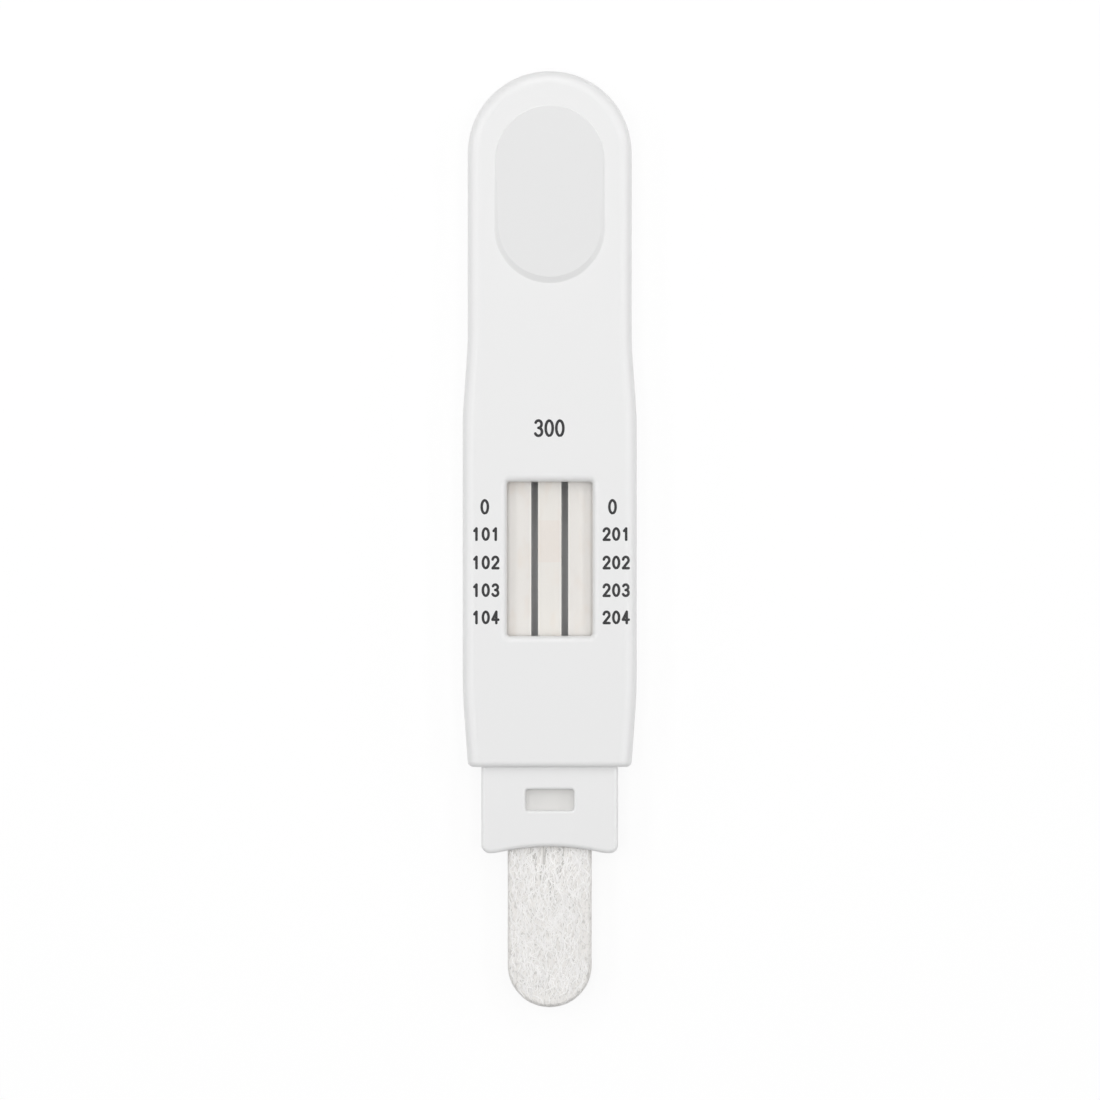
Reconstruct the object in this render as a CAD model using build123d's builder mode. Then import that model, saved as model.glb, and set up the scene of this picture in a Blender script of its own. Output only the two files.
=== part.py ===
"""Oral fluid lateral flow cassette: a two-shell casing with three test strips and a collector pad.

Millimetres. The cassette lies on its back: +Z is the printed front, +Y is the thumb grip and -Y is
the collector pad. The origin is on the back face, in the middle of the overall length.
"""

import os
from math import atan2, tan

from build123d import *

# Test strips, side by side across the casing
middle_strip_width = 3.6
outer_strip_width = 4.0
strip_gap = 1.07
strip_play = 0.1

# Layers of a strip
card_thickness = 0.3
membrane_thickness = 0.15
conjugate_thickness = 0.35
sample_thickness = 0.6
absorbent_thickness = 1.1
lap_ramp = 0.4

# Collector pad and its saturation indicator
collector_width = 13.0
collector_thickness = 3.4
collector_reach = 23.9
collector_bevel = 0.4
collector_depth = 8.34
indicator_thickness = 0.15
indicator_cover = 0.9

# Lengths along the strips, counted from the neck end of the body to the thumb grip
sample_end_gap = 0.74
stop_play = 0.3
tail_stop_thickness = 0.8
card_lead = 3.5
conjugate_length = 5.5
strip_lap = 2.0
pad_clearance = 0.55
window_length = 23.86
absorbent_length = 22.0
card_tail = 1.0
end_stop_thickness = 1.0
grip_length = 37.74

# Reagent pad of the middle strip, set flush between two lengths of wick
reagent_length = 6.5
reagent_rise = 11.39

# Casing walls and outline
front_wall = 1.5
back_wall = 1.4
side_wall = 1.5
press_room = 0.3
fastening_bay = 4.36
grip_width = 25.4
end_width = 25.3
grip_straight_end = 42.45
flare_length = 10.84
taper_length = 11.44
blend_share = 0.2
front_roll = 2.0
back_bevel = 1.0
end_roll = 0.9
parting_chamfer = 0.12
tongue_thickness = 0.6
tongue_height = 0.8
tongue_play = 0.05

# Neck, which carries the collector pad and a cap
neck_length = 13.36
neck_side_room = 1.7
neck_wall = 1.3
neck_roll = 0.7
neck_bevel = 0.5
neck_corner = 1.3
neck_flat = 0.9
neck_arch_height = 1.05
knee_share = 0.8
mouth_play = 0.2
crush_rib_height = 0.15
crush_rib_thickness = 0.6
crush_rib_inset = 2.6
guide_wall = 0.9
guide_drop = 0.1

# Result window and indicator slot
window_cover = 0.25
window_corner = 0.45
window_roll = 1.1
skirt_wall = 1.0
skirt_clearance = 0.5
slot_width = 7.5
slot_length = 3.25
slot_rise = 6.62
slot_corner = 0.45
slot_roll = 0.45

# Thumb rest, flush at its crown end and proud at its lower end
rest_width = 17.2
rest_length = 27.57
rest_drop = 5.3
rest_toe = 0.05
rest_height = 0.45
rest_scoop_share = 0.15
rest_wall_angle = 67

# Pins, sockets and ribs
boss_diameter = 3.2
pin_diameter = 1.8
pin_sides = 6
pin_length = 2.4
pin_play = 0.1
pin_lead = 0.3
end_boss_rise = 6.24
upper_boss_rise = 13.5
grip_boss_drop = 14.5
grip_boss_spacing = 15.0
web_thickness = 0.9
web_drop = 0.8
rail_thickness = 0.8
rail_inset = 0.9
divider_wall = 0.65
divider_rise = 0.55
comb_thickness = 1.0
bed_rib_spacing = 3.6
bed_rib_thickness = 0.9
grip_rib_count = 2
grip_rib_height = 2.0
grip_rib_thickness = 0.9
press_bar_thickness = 0.8
press_bar_inset = 0.4

# One overrun serves every rib that roots in a wall and every cut that leaves one
overrun = 0.4

# Levels through the thickness, worked out from what the casing holds
pad_stack = max(membrane_thickness + absorbent_thickness, conjugate_thickness + sample_thickness)
body_thickness = collector_thickness + 2 * (pad_stack + press_room + front_wall)
parting_z = body_thickness / 2
collector_z = parting_z - collector_thickness / 2
card_top_z = parting_z + collector_thickness / 2
card_z = card_top_z - card_thickness
membrane_z = card_top_z + membrane_thickness
front_inner_z = body_thickness - front_wall
skirt_z = membrane_z + skirt_clearance
neck_hollow_height = collector_thickness + 2 * crush_rib_height
neck_floor_z = parting_z - neck_hollow_height / 2
neck_ceiling_z = parting_z + neck_hollow_height / 2
neck_back_z = neck_floor_z - neck_wall
neck_front_z = neck_ceiling_z + neck_wall
divider_z = card_top_z + divider_rise

# Widths, from the middle outwards
outer_strip_x = middle_strip_width / 2 + strip_gap + outer_strip_width / 2
strips_half = outer_strip_x + outer_strip_width / 2
window_width = 2 * (strips_half - window_cover)
collector_half = collector_width / 2
guide_x = collector_half + mouth_play + guide_wall / 2
bay_half = max(strips_half + strip_play + divider_wall, guide_x + guide_wall / 2)
body_half = bay_half + fastening_bay + side_wall
boss_x = bay_half + fastening_bay / 2
grip_half = grip_width / 2
neck_half = guide_x + guide_wall / 2 + neck_side_room + neck_wall
arch_half = neck_half - neck_corner - neck_flat

# Places along the length, from the end of the body at the neck
works_length = (
    collector_depth + 2 * stop_play + tail_stop_thickness + card_lead + conjugate_length
    + 2 * (pad_clearance + skirt_wall) + window_length + absorbent_length + card_tail
    + stop_play + end_stop_thickness
)
body_length = works_length + grip_length
overall_length = collector_reach + neck_length + body_length
tip_y = -overall_length / 2
neck_end_y = tip_y + collector_reach
body_end_y = neck_end_y + neck_length
crown_y = body_end_y + body_length
collector_tail_y = body_end_y + collector_depth
tail_stop_y = collector_tail_y + stop_play + tail_stop_thickness / 2
card_low_y = collector_tail_y + 2 * stop_play + tail_stop_thickness
conjugate_low_y = card_low_y + card_lead
conjugate_high_y = conjugate_low_y + conjugate_length
membrane_low_y = conjugate_high_y - strip_lap
window_low_y = conjugate_high_y + pad_clearance + skirt_wall
window_high_y = window_low_y + window_length
window_y = (window_low_y + window_high_y) / 2
absorbent_low_y = window_high_y + skirt_wall + pad_clearance
membrane_high_y = absorbent_low_y + strip_lap
absorbent_high_y = absorbent_low_y + absorbent_length
card_high_y = absorbent_high_y + card_tail
end_stop_y = card_high_y + stop_play + end_stop_thickness / 2
sample_low_y = body_end_y + side_wall + sample_end_gap
sample_high_y = conjugate_low_y + strip_lap
middle_sample_high_y = membrane_low_y + strip_lap
reagent_low_y = window_low_y + reagent_rise
reagent_high_y = reagent_low_y + reagent_length
slot_y = body_end_y - neck_length + slot_rise + slot_length / 2

# Strips by the side they lie on, seen from the front, with the middle of each and its width
strips = {
    "left": (-outer_strip_x, outer_strip_width),
    "middle": (0, middle_strip_width),
    "right": (outer_strip_x, outer_strip_width),
}

boss_centres = [
    (side * across, along)
    for side in (-1, 1)
    for across, along in (
        (boss_x, body_end_y + end_boss_rise),
        (boss_x, window_y),
        (boss_x, absorbent_low_y + upper_boss_rise),
        (grip_boss_spacing / 2, crown_y - grip_boss_drop),
    )
]


def blend_radius(tangent_length, rise, run):
    """Radius that rounds a corner over the tangent length, where a slope meets a straight."""
    return tangent_length / tan(atan2(abs(rise), run) / 2)


def body_outline(inset):
    """Plan of the body: a round crown, a straight grip, a wider belly and a taper to the neck."""
    with BuildSketch() as outline:
        with BuildLine():
            Polyline(
                (0, body_end_y),
                (end_width / 2, body_end_y),
                (body_half, body_end_y + taper_length),
                (body_half, crown_y - grip_straight_end - flare_length),
                (grip_half, crown_y - grip_straight_end),
                (grip_half, crown_y - grip_half),
            )
            CenterArc((0, crown_y - grip_half), grip_half, 0, 90)
            mirror(about=Plane.YZ)
        make_face()
        taper_rise = body_half - end_width / 2
        taper_corners = outline.vertices().group_by(Axis.Y)[1]
        fillet(taper_corners, blend_radius(blend_share * taper_length, taper_rise, taper_length))
        flare_rise = body_half - grip_half
        belly_corners, grip_corners = outline.vertices().group_by(Axis.Y)[3:5]
        flare_blend = blend_radius(blend_share * flare_length, flare_rise, flare_length)
        fillet(belly_corners + grip_corners, radius=flare_blend)
        if inset:
            offset(amount=-inset, kind=Kind.INTERSECTION)
    return outline.sketch


def neck_outline(inset):
    """Plan of the neck, whose end is arched, run on into the body past its end wall."""
    root_y = body_end_y + 2 * side_wall + 2 * neck_wall
    arch_slope = 2 * atan2(neck_arch_height, arch_half)
    knee_radius = knee_share * neck_flat / tan(arch_slope / 2)
    with BuildSketch() as outline:
        with BuildLine():
            arch = SagittaArc((-arch_half, neck_end_y), (arch_half, neck_end_y), neck_arch_height)
            Polyline(
                arch @ 1,
                (neck_half, neck_end_y),
                (neck_half, root_y),
                (-neck_half, root_y),
                (-neck_half, neck_end_y),
                arch @ 0,
            )
        make_face()
        foot = outline.vertices().group_by(Axis.Y)[0].sort_by(Axis.X)
        fillet([foot[0], foot[-1]], radius=neck_corner)
        knees = outline.vertices().group_by(Axis.Y)[0].sort_by(Axis.X)
        fillet([knees[1], knees[-2]], radius=knee_radius)
        if inset:
            offset(amount=-inset, kind=Kind.INTERSECTION)
    return outline.sketch


def casing_form():
    """Outside of both shells in one solid, with every outer edge rolled."""
    with BuildPart() as body:
        add(body_outline(0))
        extrude(amount=body_thickness)
        fillet(body.faces().sort_by(Axis.Z)[-1].edges().sort_by(Axis.Y)[1:], radius=front_roll)
        chamfer(body.faces().sort_by(Axis.Z)[0].edges().sort_by(Axis.Y)[1:], length=back_bevel)
        fillet(body.faces().sort_by(Axis.Y)[0].edges(), radius=end_roll)
    with BuildPart() as neck:
        with BuildSketch(Plane.XY.offset(neck_back_z)):
            add(neck_outline(0))
        extrude(amount=neck_front_z - neck_back_z)
        fillet(neck.faces().sort_by(Axis.Z)[-1].edges(), radius=neck_roll)
        chamfer(neck.faces().sort_by(Axis.Z)[0].edges(), length=neck_bevel)
    with BuildPart() as form:
        add(body.part)
        add(neck.part)
    return form.part


def casing_hollow():
    """Inside of both shells: the works bay and grip, the neck and the mouth for the collector."""
    with BuildPart() as hollow:
        with BuildSketch(Plane.XY.offset(back_wall)):
            add(body_outline(side_wall))
        extrude(amount=front_inner_z - back_wall)
        with BuildSketch(Plane.XY.offset(neck_floor_z)):
            add(neck_outline(neck_wall))
            mouth_low_y = neck_end_y - overrun
            mouth_high_y = body_end_y
            with Locations((0, (mouth_low_y + mouth_high_y) / 2)):
                Rectangle(2 * (collector_half + mouth_play), mouth_high_y - mouth_low_y)
        extrude(amount=neck_hollow_height)
    return hollow.part


def tongue_band(inset):
    """Band along the sides and the crown where the tongue of one shell enters the other."""
    with BuildSketch() as band:
        add(body_outline(inset))
        add(body_outline(side_wall), mode=Mode.SUBTRACT)
        with Locations((0, body_end_y)):
            Rectangle(2 * body_half, 4 * side_wall, mode=Mode.SUBTRACT)
    return band.sketch


def thumb_rest():
    """Stadium with sloping walls, whose top is one shallow arc that rises towards its lower end."""
    high_y = crown_y - rest_drop
    low_y = high_y - rest_length
    with BuildPart() as rest:
        with BuildSketch(Plane.XY.offset(body_thickness)):
            with Locations((0, (low_y + high_y) / 2)):
                SlotOverall(rest_length, rest_width, rotation=90)
        extrude(amount=2 * rest_height, taper=rest_wall_angle)
        with BuildSketch(Plane.YZ):
            with BuildLine():
                scoop = SagittaArc(
                    (low_y, body_thickness + rest_height),
                    (high_y, body_thickness + rest_toe),
                    -rest_scoop_share * (rest_height - rest_toe),
                )
                Polyline(
                    scoop @ 1,
                    (high_y, body_thickness - overrun),
                    (low_y, body_thickness - overrun),
                    scoop @ 0,
                )
            make_face()
        extrude(amount=rest_width / 2, both=True, mode=Mode.INTERSECT)
    return rest.part


def press_bars():
    """Place and foot of each bar under the front wall that holds a strip down, strip by strip."""
    feed_y = (sample_low_y + collector_tail_y) / 2
    absorbent_lap_y = absorbent_low_y + strip_lap / 2
    absorbent_far_y = absorbent_high_y - strip_lap
    bars = []
    for side, (centre_x, width) in strips.items():
        if side == "middle":
            lap_y = middle_sample_high_y - strip_lap / 2
            lap_z = membrane_z + sample_thickness
        else:
            lap_y = sample_high_y - strip_lap / 2
            lap_z = card_top_z + conjugate_thickness + sample_thickness
        length = width - 2 * press_bar_inset
        bars.append((centre_x, feed_y, card_top_z + sample_thickness, length))
        bars.append((centre_x, lap_y, lap_z, length))
        bars.append((centre_x, absorbent_lap_y, membrane_z + absorbent_thickness, length))
        bars.append((centre_x, absorbent_far_y, card_top_z + absorbent_thickness, length))
    return bars


def grip_rib_places():
    """Even places of the stiffening ribs between the strips' end stop and the grip pins."""
    start_y = end_stop_y + end_stop_thickness / 2
    span = crown_y - grip_boss_drop - boss_diameter / 2 - start_y
    pitch = span / (grip_rib_count + 1)
    return [start_y + pitch * (i + 1) for i in range(grip_rib_count)]


outside = casing_form()
inside = casing_hollow()

# Front shell: thumb rest, result window with its skirt, indicator slot, sockets and press bars
with BuildPart() as front_shell:
    add(outside)
    split(bisect_by=Plane.XY.offset(parting_z), keep=Keep.TOP)
    chamfer(front_shell.edges().group_by(Axis.Z)[0], length=parting_chamfer)
    add(inside, mode=Mode.SUBTRACT)
    with BuildSketch(Plane.XY.offset(parting_z)):
        add(tongue_band(side_wall - tongue_thickness - tongue_play))
    extrude(amount=tongue_height + tongue_play, mode=Mode.SUBTRACT)

    # Window in a skirt that reaches down to just above the strips
    with BuildSketch(Plane.XY.offset(skirt_z)):
        with Locations((0, window_y)):
            RectangleRounded(
                window_width + 2 * skirt_wall,
                window_length + 2 * skirt_wall,
                window_corner + skirt_wall,
            )
    extrude(amount=front_inner_z - skirt_z + overrun)
    with BuildSketch(Plane.XY.offset(skirt_z)):
        with Locations((0, window_y)):
            RectangleRounded(window_width, window_length, window_corner)
    extrude(amount=body_thickness - skirt_z, mode=Mode.SUBTRACT)
    fillet(front_shell.edges(Select.LAST).group_by(Axis.Z)[-1], radius=window_roll)

    # Indicator slot through the front wall of the neck
    with BuildSketch(Plane.XY.offset(neck_ceiling_z)):
        with Locations((0, slot_y)):
            RectangleRounded(slot_width, slot_length, slot_corner)
    extrude(amount=neck_wall, mode=Mode.SUBTRACT)
    fillet(front_shell.edges(Select.LAST).group_by(Axis.Z)[-1], radius=slot_roll)

    add(thumb_rest())

    # Sockets for the pins of the back shell
    with BuildSketch(Plane.XY.offset(parting_z)):
        with Locations(*boss_centres):
            Circle(boss_diameter / 2)
    extrude(amount=front_inner_z - parting_z + overrun)
    with BuildSketch(Plane.XY.offset(parting_z)):
        with Locations(*boss_centres):
            Circle(pin_diameter / 2 + pin_play / 2)
    extrude(amount=pin_length + pin_play, mode=Mode.SUBTRACT)

    # Bars that hold the strips down
    for centre_x, bar_y, foot_z, length in press_bars():
        with BuildSketch(Plane.XY.offset(foot_z)):
            with Locations((centre_x, bar_y)):
                Rectangle(length, press_bar_thickness)
        extrude(amount=front_inner_z - foot_z + overrun)

    # Crush ribs over the collector pad in the neck
    with BuildSketch(Plane.XY.offset(card_top_z)):
        with Locations((0, body_end_y), (0, neck_end_y + neck_arch_height + crush_rib_inset)):
            Rectangle(collector_width, crush_rib_thickness)
    extrude(amount=crush_rib_height + overrun)

    # Stiffening ribs under the thumb rest
    for rib_y in grip_rib_places():
        with BuildSketch(Plane.XY.offset(front_inner_z - grip_rib_height)):
            with Locations((0, rib_y)):
                Rectangle(grip_width - side_wall, grip_rib_thickness)
        extrude(amount=grip_rib_height + overrun)

# Back shell: rails and combs for the strips, the bed of the collector pad, pins and ribs
with BuildPart() as back_shell:
    add(outside)
    split(bisect_by=Plane.XY.offset(parting_z), keep=Keep.BOTTOM)
    chamfer(back_shell.edges().group_by(Axis.Z)[-1], length=parting_chamfer)
    add(inside, mode=Mode.SUBTRACT)
    with BuildSketch(Plane.XY.offset(parting_z - overrun)):
        add(tongue_band(side_wall - tongue_thickness))
    extrude(amount=overrun + tongue_height)

    # Twin rails under each strip
    rail_places = [
        (centre_x + hand * (width / 2 - rail_inset), (tail_stop_y + end_stop_y) / 2)
        for centre_x, width in strips.values()
        for hand in (-1, 1)
    ]
    with BuildSketch(Plane.XY.offset(back_wall - overrun)):
        with Locations(*rail_places):
            Rectangle(rail_thickness, end_stop_y - tail_stop_y)
    extrude(amount=card_z - back_wall + overrun)

    # Combs that carry the strips and keep them apart
    comb_places = (
        (card_low_y + conjugate_low_y) / 2,
        membrane_low_y + strip_lap / 4,
        membrane_high_y,
        absorbent_high_y - strip_lap,
    )
    for comb_y in comb_places:
        with BuildSketch(Plane.XY.offset(back_wall - overrun)):
            with Locations((0, comb_y)):
                Rectangle(2 * (strips_half + strip_play + divider_wall), comb_thickness)
        extrude(amount=card_z - back_wall + overrun)
        with BuildSketch(Plane.XY.offset(card_z - overrun)):
            between = middle_strip_width / 2 + strip_gap / 2
            beside = strips_half + strip_play + divider_wall / 2
            with Locations((-between, comb_y), (between, comb_y)):
                Rectangle(strip_gap - 2 * strip_play, comb_thickness)
            with Locations((-beside, comb_y), (beside, comb_y)):
                Rectangle(divider_wall, comb_thickness)
        extrude(amount=divider_z - card_z + overrun)

    # Stops at the two ends of the strips; the lower one also stops the collector pad
    with BuildSketch(Plane.XY.offset(back_wall - overrun)):
        with Locations((0, tail_stop_y)):
            Rectangle(2 * strips_half, tail_stop_thickness)
    extrude(amount=card_top_z - guide_drop - back_wall + overrun)
    with BuildSketch(Plane.XY.offset(back_wall - overrun)):
        with Locations((0, end_stop_y)):
            Rectangle(2 * strips_half, end_stop_thickness)
    extrude(amount=divider_z - back_wall + overrun)

    # Bed of the collector pad: ribs in the body, crush ribs in the neck and a guide along each side
    bed_low_y = body_end_y + side_wall / 2
    bed_high_y = tail_stop_y
    with BuildSketch(Plane.XY.offset(back_wall - overrun)):
        with Locations((0, (bed_low_y + bed_high_y) / 2)):
            with GridLocations(bed_rib_spacing, 0, 3, 1):
                Rectangle(bed_rib_thickness, bed_high_y - bed_low_y)
    extrude(amount=collector_z - back_wall + overrun)
    with BuildSketch(Plane.XY.offset(neck_floor_z - overrun)):
        with Locations((0, body_end_y), (0, neck_end_y + neck_arch_height + crush_rib_inset)):
            Rectangle(collector_width, crush_rib_thickness)
    extrude(amount=crush_rib_height + overrun)
    guide_low_y = neck_end_y + neck_arch_height + neck_wall + mouth_play
    with BuildSketch(Plane.XY.offset(neck_floor_z - overrun)):
        with Locations((0, (guide_low_y + body_end_y) / 2)):
            with GridLocations(2 * guide_x, 0, 2, 1):
                Rectangle(guide_wall, body_end_y - guide_low_y)
    extrude(amount=card_top_z - guide_drop - neck_floor_z + overrun)
    with BuildSketch(Plane.XY.offset(back_wall - overrun)):
        with Locations((0, (body_end_y + tail_stop_y) / 2)):
            with GridLocations(2 * guide_x, 0, 2, 1):
                Rectangle(guide_wall, tail_stop_y - body_end_y)
    extrude(amount=card_top_z - guide_drop - back_wall + overrun)

    # Bosses up to the parting plane, each with a six-sided pin, those of the body with a web too
    with BuildSketch(Plane.XY.offset(back_wall - overrun)):
        with Locations(*boss_centres):
            Circle(boss_diameter / 2)
    extrude(amount=parting_z - back_wall + overrun)
    web_places = [
        (side * (boss_x + fastening_bay / 4 + side_wall / 4), along)
        for side in (-1, 1)
        for along in (body_end_y + end_boss_rise, window_y, absorbent_low_y + upper_boss_rise)
    ]
    with BuildSketch(Plane.XY.offset(back_wall - overrun)):
        with Locations(*web_places):
            Rectangle((fastening_bay + side_wall) / 2, web_thickness)
    extrude(amount=parting_z - web_drop - back_wall + overrun)
    with BuildSketch(Plane.XY.offset(parting_z - overrun)):
        with Locations(*boss_centres):
            RegularPolygon(pin_diameter / 2, pin_sides)
    extrude(amount=pin_length + overrun)
    chamfer(back_shell.edges(Select.LAST).group_by(Axis.Z)[-1], length=pin_lead)

    # Stiffening ribs across the grip
    for rib_y in grip_rib_places():
        with BuildSketch(Plane.XY.offset(back_wall - overrun)):
            with Locations((0, rib_y)):
                Rectangle(grip_width - side_wall, grip_rib_thickness)
        extrude(amount=grip_rib_height + overrun)

# Collector pad: a flat bonded-fibre wick with a round tip
with BuildPart() as collector_pad:
    with BuildSketch(Plane.XY.offset(collector_z)):
        with Locations((0, (tip_y + collector_half + collector_tail_y) / 2)):
            Rectangle(collector_width, collector_tail_y - tip_y - collector_half)
        with Locations((0, tip_y + collector_half)):
            Circle(collector_half)
    extrude(amount=collector_thickness)
    chamfer(collector_pad.faces().sort_by(Axis.Z)[-1].edges(), length=collector_bevel)
    chamfer(collector_pad.faces().sort_by(Axis.Z)[0].edges(), length=collector_bevel)

# Saturation indicator: a paper that lies on the collector pad under the slot of the neck
with BuildPart() as saturation_indicator:
    with BuildSketch(Plane.XY.offset(card_top_z)):
        with Locations((0, slot_y)):
            Rectangle(slot_width + 2 * indicator_cover, slot_length + 2 * indicator_cover)
    extrude(amount=indicator_thickness)


def flat_layer(centre_x, width, low_y, high_y, floor_z, thickness):
    """Flat strip layer between two places along the length."""
    with BuildPart() as layer:
        with BuildSketch(Plane.XY.offset(floor_z)):
            with Locations((centre_x, (low_y + high_y) / 2)):
                Rectangle(width, high_y - low_y)
        extrude(amount=thickness)
    return layer.part


def lapped_pad(centre_x, width, free_y, edge_y, lap_y, rise, thickness):
    """Pad that lies on the card from free_y and climbs by rise over the layer that ends at edge_y."""
    toward = 1 if edge_y > free_y else -1
    foot_y = edge_y - toward * lap_ramp
    with BuildPart() as pad:
        with BuildSketch(Plane.YZ.offset(centre_x - width / 2)):
            with BuildLine():
                Polyline(
                    (free_y, card_top_z),
                    (foot_y, card_top_z),
                    (edge_y, card_top_z + rise),
                    (lap_y, card_top_z + rise),
                    (lap_y, card_top_z + rise + thickness),
                    (edge_y, card_top_z + rise + thickness),
                    (foot_y, card_top_z + thickness),
                    (free_y, card_top_z + thickness),
                    close=True,
                )
            make_face()
        extrude(amount=width)
    return pad.part


def outer_strip(side, centre_x, width):
    """Immunoassay strip: card, membrane, conjugate pad, sample pad and absorbent pad."""
    return {
        f"{side}_backing_card": flat_layer(
            centre_x, width, card_low_y, card_high_y, card_z, card_thickness
        ),
        f"{side}_membrane": flat_layer(
            centre_x, width, membrane_low_y, membrane_high_y, card_top_z, membrane_thickness
        ),
        f"{side}_conjugate_pad": lapped_pad(
            centre_x, width, conjugate_low_y, membrane_low_y, conjugate_high_y,
            membrane_thickness, conjugate_thickness,
        ),
        f"{side}_sample_pad": lapped_pad(
            centre_x, width, sample_low_y, conjugate_low_y, sample_high_y,
            conjugate_thickness, sample_thickness,
        ),
        f"{side}_absorbent_pad": lapped_pad(
            centre_x, width, absorbent_high_y, membrane_high_y, absorbent_low_y,
            membrane_thickness, absorbent_thickness,
        ),
    }


def middle_strip(side, centre_x, width):
    """Enzyme strip: card, a wick in two lengths with the reagent pad between, and end pads."""
    return {
        f"{side}_backing_card": flat_layer(
            centre_x, width, card_low_y, card_high_y, card_z, card_thickness
        ),
        f"{side}_lower_wick": flat_layer(
            centre_x, width, membrane_low_y, reagent_low_y, card_top_z, membrane_thickness
        ),
        f"{side}_reagent_pad": flat_layer(
            centre_x, width, reagent_low_y, reagent_high_y, card_top_z, membrane_thickness
        ),
        f"{side}_upper_wick": flat_layer(
            centre_x, width, reagent_high_y, membrane_high_y, card_top_z, membrane_thickness
        ),
        f"{side}_sample_pad": lapped_pad(
            centre_x, width, sample_low_y, membrane_low_y, middle_sample_high_y,
            membrane_thickness, sample_thickness,
        ),
        f"{side}_absorbent_pad": lapped_pad(
            centre_x, width, absorbent_high_y, membrane_high_y, absorbent_low_y,
            membrane_thickness, absorbent_thickness,
        ),
    }


# Files, one for each piece
os.makedirs("parts", exist_ok=True)

front_shell.part.label = "front_shell"
export_step(front_shell.part, "parts/front_shell.step")

back_shell.part.label = "back_shell"
export_step(back_shell.part, "parts/back_shell.step")

collector_pad.part.label = "collector_pad"
export_step(collector_pad.part, "parts/collector_pad.step")

saturation_indicator.part.label = "saturation_indicator"
export_step(saturation_indicator.part, "parts/saturation_indicator.step")

for side, (centre_x, width) in strips.items():
    build_strip = middle_strip if side == "middle" else outer_strip
    for name, piece in build_strip(side, centre_x, width).items():
        piece.label = name
        export_step(piece, f"parts/{name}.step")
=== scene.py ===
"""Dresses the oral fluid test stick.

The moulded casing, the strips and the papers get their finishes. The collector pad becomes bonded
fibre under loose strands. Plain numbers are printed over and beside the result window.

Metres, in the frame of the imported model: the stick lies on its back with its printed front up
(+Z), the collector pad points to -Y and the thumb grip to +Y.
"""

from __future__ import annotations

import logging
from dataclasses import dataclass
from enum import Enum
from typing import Any, Mapping, Sequence

import bpy
import numpy as np
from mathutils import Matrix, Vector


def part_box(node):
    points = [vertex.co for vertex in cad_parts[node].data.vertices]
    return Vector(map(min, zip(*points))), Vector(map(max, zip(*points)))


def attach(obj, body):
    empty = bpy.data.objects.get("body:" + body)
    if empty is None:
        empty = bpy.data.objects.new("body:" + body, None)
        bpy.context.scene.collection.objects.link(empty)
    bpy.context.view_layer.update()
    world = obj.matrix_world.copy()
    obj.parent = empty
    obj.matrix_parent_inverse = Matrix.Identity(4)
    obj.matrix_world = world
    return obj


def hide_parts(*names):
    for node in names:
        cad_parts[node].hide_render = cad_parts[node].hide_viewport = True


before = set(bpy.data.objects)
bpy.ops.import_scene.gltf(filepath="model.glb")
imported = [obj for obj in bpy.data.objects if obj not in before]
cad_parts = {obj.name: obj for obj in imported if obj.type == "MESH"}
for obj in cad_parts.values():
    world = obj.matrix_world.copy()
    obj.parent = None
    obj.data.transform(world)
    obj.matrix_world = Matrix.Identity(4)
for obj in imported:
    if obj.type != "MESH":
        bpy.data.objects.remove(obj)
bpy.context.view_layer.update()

MM = 0.001
Colour = tuple[float, float, float, float]
Triple = tuple[float, float, float]
Pair = tuple[float, float]
WHITE: Colour = (1.0, 1.0, 1.0, 1.0)
log = logging.getLogger("test_stick")


def srgb(red: float, green: float, blue: float) -> Colour:
    """Linear colour of an 8-bit display colour: ((c + 0.055) / 1.055) to the power 2.4.

    Args:
        red: Red from 0 to 255.
        green: Green from 0 to 255.
        blue: Blue from 0 to 255.

    Returns:
        Linear red, green, blue and an alpha of 1.
    """
    levels = [((level / 255 + 0.055) / 1.055) ** 2.4 for level in (red, green, blue)]
    return (levels[0], levels[1], levels[2], 1.0)


class Field:
    """Value on a shader socket; Python operators on it add Math nodes."""

    def __init__(self, board: NodeBoard, socket: bpy.types.NodeSocket) -> None:
        """Wrap one output socket of the board's tree."""
        self.board = board
        self.socket = socket

    def math(self, operation: str, *others: Field | float, clamp: bool = False) -> Field:
        """Result of a Math node on this value.

        Args:
            operation: The Math node's operation.
            others: The values of its further inputs.
            clamp: Whether the result is held between 0 and 1.

        Returns:
            The node's result.
        """
        inputs = dict(enumerate((self, *others)))
        settings = {"operation": operation, "use_clamp": clamp}
        return self.board.field("ShaderNodeMath", 0, settings, inputs)

    def __add__(self, other: Field | float) -> Field:
        """Sum of two values."""
        return self.math("ADD", other)

    def __sub__(self, other: Field | float) -> Field:
        """Difference of two values."""
        return self.math("SUBTRACT", other)

    def __mul__(self, other: Field | float) -> Field:
        """Product of two values."""
        return self.math("MULTIPLY", other)

    def __truediv__(self, other: Field | float) -> Field:
        """Quotient of two values."""
        return self.math("DIVIDE", other)

    def __rsub__(self, other: float) -> Field:
        """A number less this value."""
        return self.math("MULTIPLY_ADD", -1.0, other)

    def __abs__(self) -> Field:
        """Value without its sign."""
        return self.math("ABSOLUTE")

    __radd__ = __add__
    __rmul__ = __mul__

    def at_least(self, other: Field | float) -> Field:
        """The larger of two values."""
        return self.math("MAXIMUM", other)

    def between(self, low: float, high: float) -> Field:
        """Smooth step from 0 where the value is low to 1 where it is high.

        Args:
            low: Value at which the step starts; it may be the larger one.
            high: Value at which the step ends.

        Returns:
            The step, t * t * (3 - 2 * t), where t runs from 0 to 1 between low and high.
        """
        share = ((self - low) / (high - low)).math("ADD", 0.0, clamp=True)
        return share * share * (3.0 - 2.0 * share)


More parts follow.
